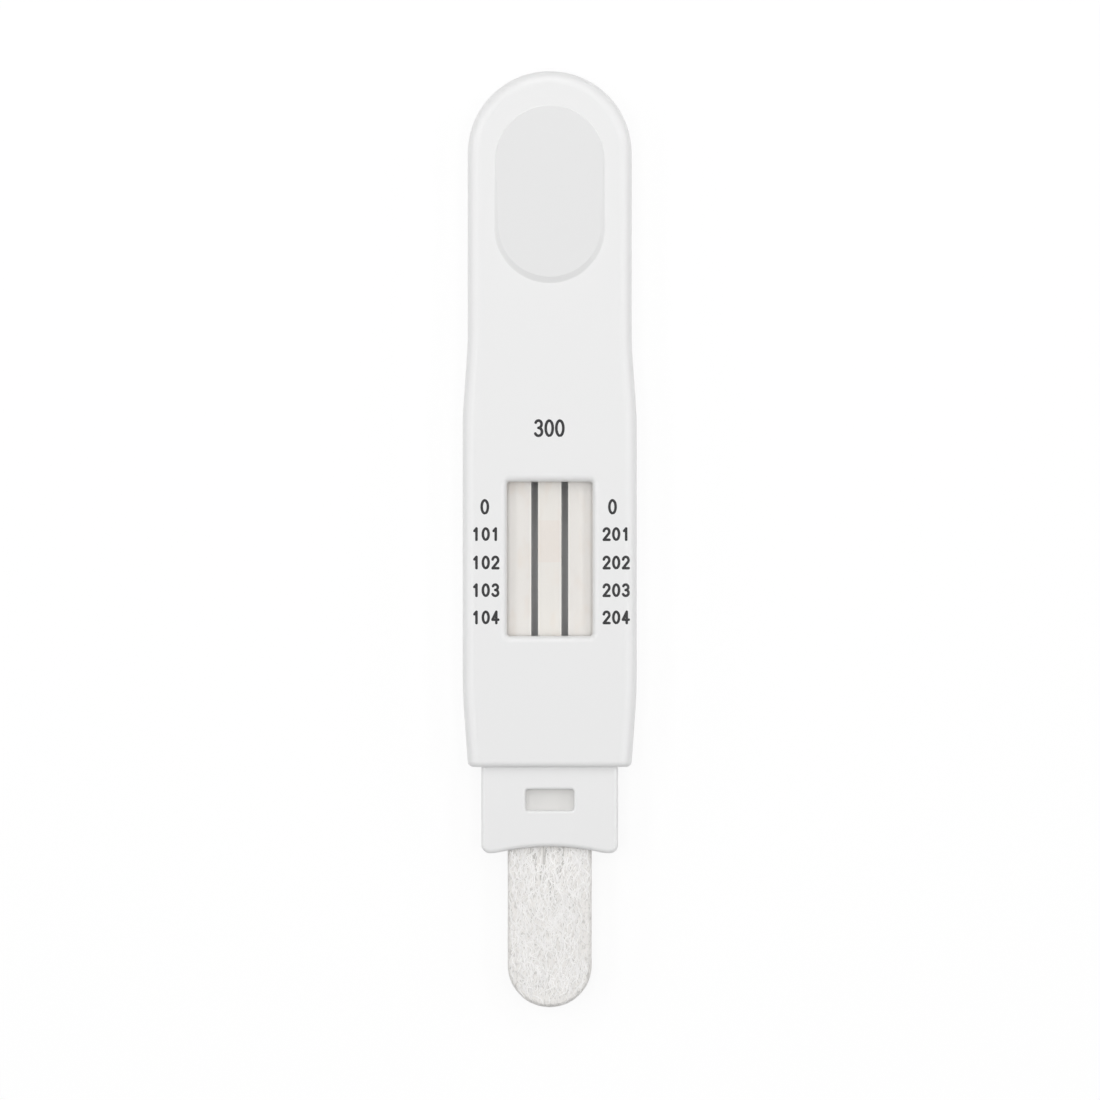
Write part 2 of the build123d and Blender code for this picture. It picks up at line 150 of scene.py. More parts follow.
class NodeBoard:
    """Node tree of one material or world, where one method adds any node."""

    def __init__(self, owner: bpy.types.Material | bpy.types.World) -> None:
        """Empty the node tree of a new material or world."""
        self.owner = owner
        self.owner.use_nodes = True
        self.tree = self.owner.node_tree
        self.tree.nodes.clear()

    def node(
        self,
        kind: str,
        settings: Mapping[str, Any] | None = None,
        inputs: Mapping[int | str, Any] | None = None,
    ) -> bpy.types.Node:
        """Add one node.

        Args:
            kind: The node's type.
            settings: Its properties, which are set first.
            inputs: The value or the field for each socket, by its name or number.

        Returns:
            The new node.
        """
        made = self.tree.nodes.new(kind)
        for key, value in (settings or {}).items():
            setattr(made, key, value)
        for key, value in (inputs or {}).items():
            if isinstance(value, Field):
                self.tree.links.new(value.socket, made.inputs[key])
            else:
                made.inputs[key].default_value = value
        return made

    def field(
        self,
        kind: str,
        output: int | str,
        settings: Mapping[str, Any] | None = None,
        inputs: Mapping[int | str, Any] | None = None,
    ) -> Field:
        """Add one node and wrap one of its outputs, with the same arguments as node()."""
        return Field(self, self.node(kind, settings, inputs).outputs[output])

    def object_place(self) -> Field:
        """Place on the object, in metres, as one vector."""
        return self.field("ShaderNodeTexCoord", "Object")

    def axes_mm(self) -> tuple[Field, Field, Field]:
        """Place on the object along X, Y and Z, each in millimetres."""
        parts = self.node("ShaderNodeSeparateXYZ", {}, {0: self.object_place()})
        across, along, up = (Field(self, socket) * (1 / MM) for socket in parts.outputs)
        return across, along, up

    def noise(self, grain_mm: Triple, detail: float = 2.0, distortion: float = 0.0) -> Field:
        """Cloudy noise from 0 to 1 on the object's own coordinates.

        Args:
            grain_mm: Size of its patches along X, Y and Z, in millimetres.
            detail: Number of finer layers laid over it.
            distortion: How far it is stirred.

        Returns:
            The noise.
        """
        scale = [1 / (grain * MM) for grain in grain_mm]
        place = self.field(
            "ShaderNodeMapping", 0, {"vector_type": "POINT"},
            {"Vector": self.object_place(), "Scale": scale},
        )
        inputs = {"Vector": place, "Scale": 1.0, "Detail": detail, "Distortion": distortion}
        return self.field("ShaderNodeTexNoise", 0, {"noise_dimensions": "3D"}, inputs)

    def shade(self, colour: Field | Colour, amount: Field) -> Field:
        """Colour times a varying amount."""
        plain = colour if isinstance(colour, Field) else colour[:3]
        inputs = {0: plain, "Scale": amount}
        return self.field("ShaderNodeVectorMath", 0, {"operation": "SCALE"}, inputs)

    def blend(self, share: Field, first: Field | Colour, second: Field | Colour) -> Field:
        """Mix of two colours.

        Args:
            share: 0 for the first colour and 1 for the second.
            first: The first colour.
            second: The second colour.

        Returns:
            The mixed colour.
        """
        settings = {"data_type": "RGBA", "blend_type": "MIX"}
        return self.field("ShaderNodeMix", 2, settings, {0: share, 6: first, 7: second})

    def bump(self, height_mm: Field) -> Field:
        """Normal of a surface that stands up by a height in millimetres."""
        inputs = {"Strength": 1.0, "Distance": MM, "Height": height_mm}
        return self.field("ShaderNodeBump", 0, {}, inputs)

    def plain_sight(self) -> Field:
        """1 to rays of the camera and those it sends through mirrors or glass, 0 to the others."""
        rays = self.node("ShaderNodeLightPath")
        seen = Field(self, rays.outputs["Is Camera Ray"])
        for ray in ("Is Glossy Ray", "Is Transmission Ray"):
            seen = seen.at_least(Field(self, rays.outputs[ray]))
        return seen

    def finish(self, inputs: Mapping[int | str, Any]) -> bpy.types.Material:
        """Close the tree with a Principled shader that has the given inputs."""
        surface = self.field("ShaderNodeBsdfPrincipled", 0, {}, inputs)
        self.node("ShaderNodeOutputMaterial", {}, {"Surface": surface})
        return self.owner


@dataclass(frozen=True)
class Stadium:
    """Plan shape of two half rounds joined by straight sides, along Y, in millimetres."""

    centre_y: float
    length: float
    width: float

    def outside_mm(self, across: Field, along: Field) -> Field:
        """Distance outside the shape, and below zero inside it.

        Args:
            across: Place along X, in millimetres.
            along: Place along Y, in millimetres.

        Returns:
            The distance from the straight core of the shape, less its half width.
        """
        core = (abs(along - self.centre_y) - (self.length - self.width) / 2).at_least(0.0)
        return (across * across + core * core).math("SQRT") - self.width / 2


@dataclass(frozen=True)
class MouldedPlastic:
    """Opaque white plastic from a satin mould, with a blasted thumb rest where it has one.

    Grains, edges and reliefs are in millimetres.
    """

    name: str
    colour: Colour
    roughness: float = 0.3
    refraction: float = 1.59
    cloud_grain: Triple = (9.0, 26.0, 9.0)
    skin_grain: Triple = (2.5, 2.5, 2.5)
    darkest: float = 0.998
    cloud_contrast: float = 0.003
    skin_contrast: float = 0.001
    gloss_spread: float = 0.02
    skin_relief: float = 0.0003
    rest: Stadium | None = None
    rest_edge: Pair = (0.05, -0.25)
    rest_shade: float = 0.915
    rest_roughness: float = 0.6
    rest_grain: Triple = (0.3, 0.3, 0.3)
    rest_relief: float = 0.0008

    def material(self) -> bpy.types.Material:
        """Satin skin: faint flow clouds in the colour, patchy gloss and a fine blasted grain."""
        board = NodeBoard(bpy.data.materials.new(self.name))
        across, along, _up = board.axes_mm()
        clouds = board.noise(self.cloud_grain, detail=3.0, distortion=0.4)
        skin = board.noise(self.skin_grain, detail=1.0)
        tone = self.darkest + self.cloud_contrast * clouds + self.skin_contrast * skin
        gloss = self.roughness - self.gloss_spread / 2 + self.gloss_spread * skin
        height = self.skin_relief * skin
        if self.rest is not None:
            inside = self.rest.outside_mm(across, along).between(*self.rest_edge)
            tone = tone * (1.0 - (1.0 - self.rest_shade) * inside)
            gloss = gloss + (self.rest_roughness - self.roughness) * inside
            grain = board.noise(self.rest_grain, detail=0.0)
            height = height + self.rest_relief * grain * inside
        return board.finish({
            "Base Color": board.shade(self.colour, tone),
            "Roughness": gloss,
            "IOR": self.refraction,
            "Normal": board.bump(height),
        })


@dataclass(frozen=True)
class FibrePaper:
    """Matt paper, membrane or glass fibre, with its fibres along the strip and painted highlights
    on its cut edges.

    Grains are in millimetres, and a run is a grain's length over its width.
    """

    name: str
    colour: Colour
    roughness: float = 0.9
    refraction: float = 1.35
    fibre_mm: float = 0.12
    fibre_run: float = 5.0
    relief_mm: float = 0.006
    contrast: float = 0.05
    fibre_weight: float = 1.3
    patch_weight: float = 0.7
    patch_grain: Triple = (1.6, 2.6, 1.6)
    stain: Colour = srgb(226, 216, 206)
    stain_share: float = 0.35
    stain_grain: Triple = (2.2, 5.0, 2.2)
    stain_edge: Pair = (0.48, 0.72)
    painted_edge_highlight: float = 0.0
    edge_mm: float = 0.18
    edge_core: float = 0.4
    edges_x: tuple[float, ...] = ()

    def material(self) -> bpy.types.Material:
        """Colour clouded by fibres and faint stains, with a painted highlight along each cut edge.
        """
        board = NodeBoard(bpy.data.materials.new(self.name))
        across, _along, _up = board.axes_mm()
        grain = (self.fibre_mm, self.fibre_run * self.fibre_mm, self.fibre_mm)
        fibres = board.noise(grain, detail=3.0, distortion=0.6)
        patches = board.noise(self.patch_grain, detail=2.0)
        stains = board.noise(self.stain_grain, detail=2.0).between(*self.stain_edge)
        stained = self.stain_share * stains
        clouds = self.fibre_weight * fibres + self.patch_weight * patches
        tone = 1.0 - self.contrast + self.contrast * clouds
        # painted highlight: each cut edge gets a paler band, standing in for the light it catches
        for edge_x in self.edges_x:
            band = abs(across - edge_x).between(self.edge_mm, self.edge_core * self.edge_mm)
            tone = tone + self.painted_edge_highlight * band
        return board.finish({
            "Base Color": board.shade(board.blend(stained, self.colour, self.stain), tone),
            "Roughness": self.roughness,
            "IOR": self.refraction,
            "Normal": board.bump(self.relief_mm * fibres),
        })


@dataclass(frozen=True)
class CardStock:
    """Glossy plastic card that the layers of a strip are laminated on, sized in millimetres."""

    name: str
    colour: Colour
    wave_grain: Triple = (2.5, 6.0, 2.5)
    wave_contrast: float = 0.02
    wave_relief: float = 0.003
    speck_grain: Triple = (0.3, 0.3, 0.3)
    roughness: float = 0.3
    roughness_spread: float = 0.06

    def material(self) -> bpy.types.Material:
        """Smooth white card with a slight waviness from lamination."""
        board = NodeBoard(bpy.data.materials.new(self.name))
        waves = board.noise(self.wave_grain, detail=1.0)
        specks = board.noise(self.speck_grain, detail=2.0)
        tone = 1.0 - self.wave_contrast + self.wave_contrast * waves
        return board.finish({
            "Base Color": board.shade(self.colour, tone),
            "Roughness": self.roughness + self.roughness_spread * specks,
            "Normal": board.bump(self.wave_relief * waves),
        })


@dataclass(frozen=True)
class BondedFibre:
    """Heat-bonded polyester fibre, with each strand's own shade from the mesh.

    Grains and fades are in millimetres, and a run is a grain's length over its width.
    """

    name: str
    colour: Colour
    roughness: float = 0.75
    refraction: float = 1.4
    shade_spread: float = 0.0
    pit_mm: float = 0.3
    pit_run: float = 1.8
    pit_edge: Pair = (0.55, 0.3)
    painted_pit_shade: float = 0.1
    hair_grain: Triple = (0.05, 0.3, 0.05)
    relief_mm: float = 0.02
    painted_slit_shade: float = 0.0
    slit_grain: Triple = (0.45, 4.0, 4.0)
    slit_edge: Pair = (0.56, 0.66)
    slit_fade_x: Pair = (5.0, 2.5)
    slit_fade_y: Pair = (-58.0, -54.0)

    def material(self) -> bpy.types.Material:
        """Matt fibre with painted shade in its pits, times the shade that each strand carries.

        Long slits of painted shade between the bundles of fibre show near the mouth.
        """
        board = NodeBoard(bpy.data.materials.new(self.name))
        across, along, _up = board.axes_mm()
        grain = (self.pit_mm, self.pit_run * self.pit_mm, self.pit_mm)
        pits = board.noise(grain, detail=3.0, distortion=0.8)
        hairs = board.noise(self.hair_grain, detail=2.0, distortion=0.5)
        # painted shade: darker in the pits between the fibres
        tone = 1.0 - self.painted_pit_shade * pits.between(*self.pit_edge)
        # painted shade: dark slits between the bundles of fibre near the mouth
        if self.painted_slit_shade:
            slits = board.noise(self.slit_grain, detail=1.0, distortion=0.3)
            slits = slits.between(*self.slit_edge)
            near = along.between(*self.slit_fade_y) * abs(across).between(*self.slit_fade_x)
            tone = tone * (1.0 - self.painted_slit_shade * slits * near)
        if self.shade_spread:
            shade = board.field("ShaderNodeAttribute", "Fac", {"attribute_name": "shade"})
            tone = tone * (1.0 - self.shade_spread + self.shade_spread * shade)
        return board.finish({
            "Base Color": board.shade(self.colour, tone),
            "Roughness": self.roughness,
            "IOR": self.refraction,
            "Normal": board.bump(self.relief_mm * hairs),
        })


@dataclass(frozen=True)
class Ink:
    """Black pad-printing ink, a little uneven in cover and gloss, sized in millimetres."""

    name: str
    colour: Colour
    grain: Triple = (0.12, 0.12, 0.12)
    darkest: float = 0.8
    contrast: float = 0.5
    roughness: float = 0.42
    roughness_spread: float = 0.12
    relief: float = 0.002

    def material(self) -> bpy.types.Material:
        """Near-black film with faint mottling."""
        board = NodeBoard(bpy.data.materials.new(self.name))
        mottle = board.noise(self.grain, detail=2.0)
        return board.finish({
            "Base Color": board.shade(self.colour, self.darkest + self.contrast * mottle),
            "Roughness": self.roughness + self.roughness_spread * mottle,
            "Normal": board.bump(self.relief * mottle),
        })


def mesh_piece(
    name: str,
    points: np.ndarray,
    polygons: Sequence[np.ndarray],
    material: bpy.types.Material,
    shades: np.ndarray | None = None,
) -> bpy.types.Object:
    """Put points and polygons into an object that stands at the origin.

    It is shaded smooth, but strands keep their flat facets, which catch the light as film does.

    Args:
        name: The piece's name.
        points: Places, one row each, in metres.
        polygons: Arrays of point numbers, each with its own number of corners.
        material: The piece's material.
        shades: One number for each point, kept as the attribute of a strand's own shade.

    Returns:
        The new object, linked to the scene.
    """
    corners = np.concatenate([part.ravel() for part in polygons]).astype(np.int32)
    sizes = np.concatenate([np.full(len(part), part.shape[1]) for part in polygons])
    starts = np.concatenate([[0], np.cumsum(sizes)[:-1]]).astype(np.int32)
    mesh = bpy.data.meshes.new(name)
    mesh.vertices.add(len(points))
    mesh.vertices.foreach_set("co", points.astype(np.float32).ravel())
    mesh.loops.add(len(corners))
    mesh.loops.foreach_set("vertex_index", corners)
    mesh.polygons.add(len(starts))
    mesh.polygons.foreach_set("loop_start", starts)
    mesh.update(calc_edges=True)
    if shades is None:
        mesh.shade_smooth()
    else:
        mesh.shade_flat()
        attribute = mesh.attributes.new("shade", "FLOAT", "POINT")
        attribute.data.foreach_set("value", shades.astype(np.float32))
    mesh.materials.append(material)
    piece = bpy.data.objects.new(name, mesh)
    bpy.context.scene.collection.objects.link(piece)
    return piece


def wall_quads(rows: int, sides: int) -> np.ndarray:
    """Quads of a wall whose points run row by row, each row once round a closed section.

    Args:
        rows: Sections along the wall.
        sides: Points round each section.

    Returns:
        The point numbers of the quads, one row each.
    """
    row, side = np.meshgrid(np.arange(rows - 1), np.arange(sides), indexing="ij")
    onward = (side + 1) % sides
    near, far = row * sides, (row + 1) * sides
    quads = np.stack([near + side, near + onward, far + onward, far + side], axis=-1)
    return quads.reshape(-1, 4)


def tube_polygons(tubes: int, rows: int, sides: int) -> list[np.ndarray]:
    """Polygons of closed tubes whose points run tube by tube, row by row, round each section.

    Each wall is a grid that wraps round the section, and each end is closed by quads across it.

    Args:
        tubes: Number of tubes.
        rows: Sections along each tube.
        sides: Points round each section, an even number.

    Returns:
        The quads of the walls and of the ends.
    """
    step = np.arange(0, sides - 2, 2)
    near = np.stack([np.zeros_like(step), step + 3, step + 2, step + 1], axis=-1) % sides
    far = near[:, ::-1] + (rows - 1) * sides
    quads = np.concatenate([wall_quads(rows, sides), near, far])
    shift = (np.arange(tubes) * rows * sides)[:, None, None]
    return [(quads[None] + shift).reshape(-1, 4)]


class Casing:
    """Front and back shell, dressed in satin white plastic."""

    plastic_colour = srgb(231, 231, 231)
    thumb_rest = Stadium(centre_y=53.42, length=27.57, width=17.2)

    def dress(self) -> None:
        """Give both shells their finish."""
        colour = self.plastic_colour
        front = MouldedPlastic("casing_front_plastic", colour, rest=self.thumb_rest)
        back = MouldedPlastic("casing_back_plastic", colour)
        dress_node("front_shell", front.material())
        dress_node("back_shell", back.material())


def dress_node(name: str, material: bpy.types.Material) -> None:
    """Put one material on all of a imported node.

    Args:
        name: The node's name.
        material: Its new material.
    """
    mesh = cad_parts[name].data
    mesh.materials.clear()
    mesh.materials.append(material)
    log.info("%s: %s", name, material.name)


class Strip(Enum):
    """Test strips by the side they lie on, seen from the front."""

    LEFT = "left"
    MIDDLE = "middle"
    RIGHT = "right"


@dataclass(frozen=True)
class TestStrips:
    """Cards, membranes and pads of the three strips, and the indicator paper of the neck."""

    membrane_colour: Colour = srgb(230, 227, 223)
    wick_colour: Colour = srgb(228, 225, 220)
    reagent_colour: Colour = srgb(227, 221, 215)
    pad_colour: Colour = srgb(236, 234, 229)
    conjugate_colour: Colour = srgb(226, 205, 196)
    card_colour: Colour = srgb(238, 238, 236)
    indicator_colour: Colour = srgb(217, 216, 214)

    def edges(self, node: str) -> Pair:
        """Left and right edge of a node, in millimetres."""
        low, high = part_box(node)
        return low.x / MM, high.x / MM

    def dress(self) -> None:
        """Give each layer of each strip its own finish."""
        pale, tinted = self.pad_colour, self.conjugate_colour
        card = CardStock("backing_card_plastic", self.card_colour).material()
        absorbent = FibrePaper("absorbent_paper", pale, fibre_mm=0.2, relief_mm=0.03).material()
        sample = FibrePaper("sample_paper", pale, fibre_mm=0.15, relief_mm=0.02).material()
        conjugate = FibrePaper("conjugate_fibre", tinted, relief_mm=0.015).material()
        for strip in Strip:
            side = strip.value
            dress_node(f"{side}_backing_card", card)
            dress_node(f"{side}_absorbent_pad", absorbent)
            dress_node(f"{side}_sample_pad", sample)
            if strip is Strip.MIDDLE:
                self.dress_wick()
            else:
                dress_node(f"{side}_conjugate_pad", conjugate)
                node = f"{side}_membrane"
                membrane = FibrePaper(
                    f"{side}_membrane_film", self.membrane_colour, fibre_mm=0.08, relief_mm=0.002,
                    contrast=0.02, painted_edge_highlight=0.12, edges_x=self.edges(node),
                )
                dress_node(node, membrane.material())

    def dress_wick(self) -> None:
        """Give the middle strip its wick and the reagent pad set into it."""
        edges_x = self.edges("middle_lower_wick")
        wick = FibrePaper(
            "middle_wick_paper", self.wick_colour, fibre_mm=0.09, relief_mm=0.003,
            contrast=0.025, painted_edge_highlight=0.12, edges_x=edges_x,
        ).material()
        reagent = FibrePaper(
            "reagent_paper", self.reagent_colour, fibre_mm=0.11, relief_mm=0.005,
            contrast=0.04, painted_edge_highlight=0.1, edges_x=edges_x,
        ).material()
        dress_node("middle_lower_wick", wick)
        dress_node("middle_upper_wick", wick)
        dress_node("middle_reagent_pad", reagent)

    def dress_indicator(self) -> None:
        """Give the indicator paper under the slot its finish."""
        paper = FibrePaper(
            "indicator_paper", self.indicator_colour, fibre_mm=0.1, relief_mm=0.004,
            contrast=0.03, stain_share=0.0,
        )
        dress_node("saturation_indicator", paper.material())


class Face(Enum):
    """Sides of the collector pad that fibres are laid on."""

    FRONT = 1
    BACK = -1
    RIM = 0


@dataclass(frozen=True)
class StrandStyle:
    """How loose strands run and bend; each pair is the range that a random number is drawn from.

    A strand's length is its shortest one and a gamma draw. Its heading, in radians, is made of a
    start and a drift, each from a normal draw, and of a sway, which is part of a wave.
    """

    colour: Colour = srgb(252, 251, 250)
    points: int = 11
    tries: int = 3
    shortest: float = 0.9 * MM
    length_shape: float = 4.0
    length_scale: float = 0.5 * MM
    heading: float = 0.4
    drift: float = 1.3
    sway: float = 0.4
    waves: Pair = (0.6, 1.8)
    lift_mm: Pair = (-0.02, 0.09)
    dip: float = 0.07 * MM
    dip_power: int = 4
    girth_mm: Pair = (0.05, 0.09)
    taper: float = 0.75
    taper_power: int = 6
    flatness: float = 0.4


@dataclass(frozen=True)
class CollectorPad:
    """Pad of bonded fibre: a soft-edged body with a round tip, under a mat of separate strands."""

    low: Triple
    high: Triple
    mouth_y: float = -46.9 * MM
    roll: float = 0.7 * MM
    squareness: float = 2.6
    sink: float = 0.08 * MM
    lump: float = 0.05 * MM
    lattice_size: int = 256
    lattice_start: int = 2
    lump_cells: Pair = (1.3 * MM, 0.5 * MM)
    lump_shares: Pair = (0.6, 0.4)
    lump_seeds: tuple[int, int] = (0, 10)
    columns: int = 72
    row_step: float = 0.16 * MM
    tip_rows: int = 40
    hidden_rows: int = 30
    strand: StrandStyle = StrandStyle()
    face_strands: int = 850
    rim_strands: int = 650
    margin: float = 0.14 * MM
    rim_reach: float = 0.96
    seed: int = 7
    strand_seed: int = 40
    core_colour: Colour = srgb(234, 232, 229)

    @property
    def radius(self) -> float:
        """Half the width, which is also the tip's radius."""
        return (self.high[0] - self.low[0]) / 2

    @property
    def middle_z(self) -> float:
        """Level halfway through the thickness."""
        return (self.high[2] + self.low[2]) / 2

    @property
    def half_height(self) -> float:
        """Half the thickness of the body under its strands."""
        return (self.high[2] - self.low[2]) / 2 - self.sink

    @property
    def tip_y(self) -> float:
        """Middle of the tip's round."""
        return self.low[1] + self.radius

    def half_width(self, y: np.ndarray) -> np.ndarray:
        """Half the width along the pad: the tip is a half circle, and the rest is straight."""
        behind = np.clip(self.tip_y - y, 0, self.radius)
        return np.sqrt(self.radius**2 - behind**2)

    def edge_distance(self, x: np.ndarray, y: np.ndarray) -> np.ndarray:
        """Distance to the outline, from the radius less the distance to the pad's middle line."""
        behind = np.clip(self.tip_y - y, 0, None)
        return np.clip(self.radius - np.hypot(x, behind), 0, None)

    def fullness(self, distance: np.ndarray) -> np.ndarray:
        """Share of the full thickness at a distance from the outline.

        It is a quarter of a squared-off oval: (1 - (1 - t) ** n) ** (1 / n), where t is the
        distance as a share of the roll.
        """
        share = np.clip(distance / self.roll, 0, 1)
        return (1 - (1 - share) ** self.squareness) ** (1 / self.squareness)

    def lumps(self, x: np.ndarray, y: np.ndarray, cell: float, seed: int) -> np.ndarray:
        """Smooth random height from -1 to 1, eased between the points of a square lattice.

        Args:
            x: Places along X.
            y: Places along Y.
            cell: Side of the lattice's squares.
            seed: Start of the random numbers.

        Returns:
            The height at each place.
        """
        size = self.lattice_size
        lattice = np.random.default_rng(seed).uniform(-1, 1, (size, size))
        u = (x - self.low[0]) / cell + self.lattice_start
        v = (y - self.low[1]) / cell + self.lattice_start
        i = np.floor(u).astype(int)
        j = np.floor(v).astype(int)
        s = u - i
        t = v - j
        s = s * s * (3 - 2 * s)
        t = t * t * (3 - 2 * t)
        i %= size - 1
        j %= size - 1
        near = lattice[i, j] * (1 - s) + lattice[i + 1, j] * s
        far = lattice[i, j + 1] * (1 - s) + lattice[i + 1, j + 1] * s
        return near * (1 - t) + far * t

    def height(self, x: np.ndarray, y: np.ndarray, face: Face) -> np.ndarray:
        """Level of the front or back: the rolled form plus lumps that fade at the outline."""
        distance = self.edge_distance(x, y)
        rough = np.zeros_like(x)
        for cell, share, seed in zip(self.lump_cells, self.lump_shares, self.lump_seeds):
            rough += share * self.lumps(x, y, cell, self.seed + seed + face.value)
        fade = np.clip(distance / self.roll, 0, 1)
        return self.middle_z + face.value * (
            self.half_height * self.fullness(distance) + self.lump * rough * fade
        )

    def body(self, material: bpy.types.Material) -> bpy.types.Object:
        """Closed body: a front and a back sheet on one grid, which meet along the outline.

        A row lies at each place along Y and its points at shares of the half width, set close
        near the outline by a sine. The tip is a fan round one point, and the tail a flat end.
        """
        turn = np.linspace(0, np.pi / 2, self.tip_rows)[1:]
        tip = self.tip_y - self.radius * np.cos(turn)
        seen = np.arange(self.tip_y, self.mouth_y, self.row_step)[1:]
        hidden = np.linspace(self.mouth_y, self.high[1], self.hidden_rows)
        y = np.concatenate([tip, seen, hidden])
        share = np.sin(np.linspace(-np.pi / 2, np.pi / 2, self.columns + 1))
        x = share[None, :] * self.half_width(y)[:, None]
        y_grid = np.broadcast_to(y[:, None], x.shape)
        front = np.stack([x, y_grid, self.height(x, y_grid, Face.FRONT)], axis=-1)
        back = np.stack([x, y_grid, self.height(x, y_grid, Face.BACK)], axis=-1)
        loops = np.concatenate([front, back[:, -2:0:-1]], axis=1)
        rows, around = loops.shape[:2]
        pole = rows * around
        first = np.arange(around)
        fan = np.stack([np.full(around, pole), (first + 1) % around, first], axis=-1)
        last = (rows - 1) * around
        upper = last + np.arange(1, self.columns - 1)
        lower = 2 * last + around - upper
        tail = np.stack([upper, upper + 1, lower - 1, lower], axis=-1)
        ends = np.array([
            [last, last + 1, last + around - 1],
            [last + self.columns - 1, last + self.columns, last + self.columns + 1],
        ])
        tip_point = np.array([[0.0, self.low[1], self.middle_z]])
        points = np.concatenate([loops.reshape(-1, 3), tip_point])
        polygons = [wall_quads(rows, around), fan, tail, ends]
        return mesh_piece("collector_body", points, polygons, material)

    def strands(
        self, name: str, face: Face, count: int, material: bpy.types.Material
    ) -> bpy.types.Object:
        """Mat of separate strands on one side of the pad.

        A strand's heading starts near the pad's length, drifts at an even rate and sways a little.
        Its section is a flat diamond, drawn in at the ends, where the strand dips into the body.

        Args:
            name: The piece's name.
            face: The side that the strands lie on.
            count: Number of strands.
            material: Their material.

        Returns:
            The piece.
        """
        style = self.strand
        rng = np.random.default_rng(self.seed + self.strand_seed + face.value)
        each = (style.tries * count, 1)
        run = np.linspace(-0.5, 0.5, style.points)[None, :]
        length = rng.gamma(style.length_shape, style.length_scale, each) + style.shortest
        turns = run * rng.uniform(*style.waves, each) + rng.random(each)
        heading = rng.normal(0.0, style.heading, each) + rng.normal(0.0, style.drift, each) * run
        heading = heading + style.sway * np.sin(2 * np.pi * turns)
        step = length / (style.points - 1)
        across = np.cumsum(np.sin(heading), axis=1) * step
        along = np.cumsum(np.cos(heading), axis=1) * step
        across -= across.mean(axis=1, keepdims=True)
        along -= along.mean(axis=1, keepdims=True)
        lift = rng.uniform(*style.lift_mm, each) * MM
        arch = (1 - (2 * run) ** style.dip_power) * (lift + style.dip) - style.dip
        if face is Face.RIM:
            centre, up, inside = self.rim_places(rng, across, along, arch)
        else:
            centre, up, inside = self.face_places(rng, face, across, along, arch)
        chosen = np.flatnonzero(inside.all(axis=1))[:count]
        centre = centre[chosen]
        ahead = np.gradient(centre, axis=1)
        ahead /= np.linalg.norm(ahead, axis=-1, keepdims=True)
        beside = np.cross(ahead, up[chosen])
        beside /= np.linalg.norm(beside, axis=-1, keepdims=True)
        above = np.cross(beside, ahead)
        girth = rng.uniform(*style.girth_mm, (len(chosen), 1)) * MM
        girth = (girth * (1 - style.taper * np.abs(2 * run) ** style.taper_power))[..., None]
        section = np.stack(
            [
                centre + beside * girth,
                centre + above * girth * style.flatness,
                centre - beside * girth,
                centre - above * girth * style.flatness,
            ],
            axis=2,
        )
        sides = section.shape[2]
        shades = np.repeat(rng.random(len(chosen)), style.points * sides)
        polygons = tube_polygons(len(chosen), style.points, sides)
        return mesh_piece(name, section.reshape(-1, 3), polygons, material, shades)

    def face_places(
        self,
        rng: np.random.Generator,
        face: Face,
        across: np.ndarray,
        along: np.ndarray,
        arch: np.ndarray,
    ) -> tuple[np.ndarray, np.ndarray, np.ndarray]:
        """Lay strands on the front or back, each set down at a random place.

        Args:
            rng: Random numbers.
            face: The side that they lie on.
            across: Each strand's run across the pad from its own middle.
            along: Its run along the pad.
            arch: Its height over the surface.

        Returns:
            The middle lines, their up directions, and whether each point is inside the outline.
        """
        count = len(across)
        x = rng.uniform(self.low[0], self.high[0], (count, 1)) + across
        y = rng.uniform(self.low[1], self.mouth_y, (count, 1)) + along
        inside = (self.edge_distance(x, y) > self.margin) & (y < self.mouth_y)
        z = self.height(x, y, face) + face.value * arch
        up = np.zeros((*x.shape, 3))
        up[..., 2] = face.value
        return np.stack([x, y, z], axis=-1), up, inside

    def rim_places(
        self, rng: np.random.Generator, across: np.ndarray, along: np.ndarray, arch: np.ndarray
    ) -> tuple[np.ndarray, np.ndarray, np.ndarray]:
        """Lay strands round the rim.

        A place on the rim is a distance along the outline, down one side, round the tip and up the
        other, and a level. The roll's oval, solved for the distance, gives how far in it lies.

        Args:
            rng: Random numbers.
            across: Each strand's run over the thickness from its own middle.
            along: Its run along the outline.
            arch: Its height over the surface.

        Returns:
            The middle lines, their up directions, and whether each point is on the rim.
        """
        count = len(across)
        straight = self.mouth_y - self.tip_y
        bend = np.pi * self.radius
        total = 2 * straight + bend
        travel = rng.uniform(0, total, (count, 1)) + along
        level = rng.uniform(-1, 1, (count, 1)) + across / self.half_height
        inside = (np.abs(level) < self.rim_reach) & (travel > 0) & (travel < total)
        flat = np.clip(np.abs(level), 0, 1) ** self.squareness
        inset = self.roll * (1 - (1 - flat) ** (1 / self.squareness))
        angle = np.clip((travel - straight) / self.radius, 0, np.pi)
        risen = np.clip(travel - straight - bend, 0, None)
        beyond = np.where(travel < straight, straight - travel, risen)
        out = np.stack([-np.cos(angle), -np.sin(angle), np.zeros_like(angle)], axis=-1)
        centre = out * (self.radius - inset - self.sink + arch)[..., None]
        centre[..., 1] += self.tip_y + beyond
        centre[..., 2] += self.middle_z + level * self.half_height
        return centre, out, inside

    def build(self) -> list[bpy.types.Object]:
        """Make the body and its strands, and stand them in for the plain pad."""
        # the core's pits and slits carry painted shade
        core = BondedFibre(
            "collector_core", self.core_colour, pit_mm=0.36, painted_pit_shade=0.26, painted_slit_shade=0.28
        ).material()
        strand = BondedFibre(
            "collector_strand", self.strand.colour,
            shade_spread=0.12, painted_pit_shade=0.02, relief_mm=0.006,
        ).material()
        body = self.body(core)
        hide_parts("collector_pad")
        made = [
            body,
            self.strands("collector_front_strands", Face.FRONT, self.face_strands, strand),
            self.strands("collector_back_strands", Face.BACK, self.face_strands, strand),
            self.strands("collector_rim_strands", Face.RIM, self.rim_strands, strand),
        ]
        for piece in made:
            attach(piece, "root")
        return made


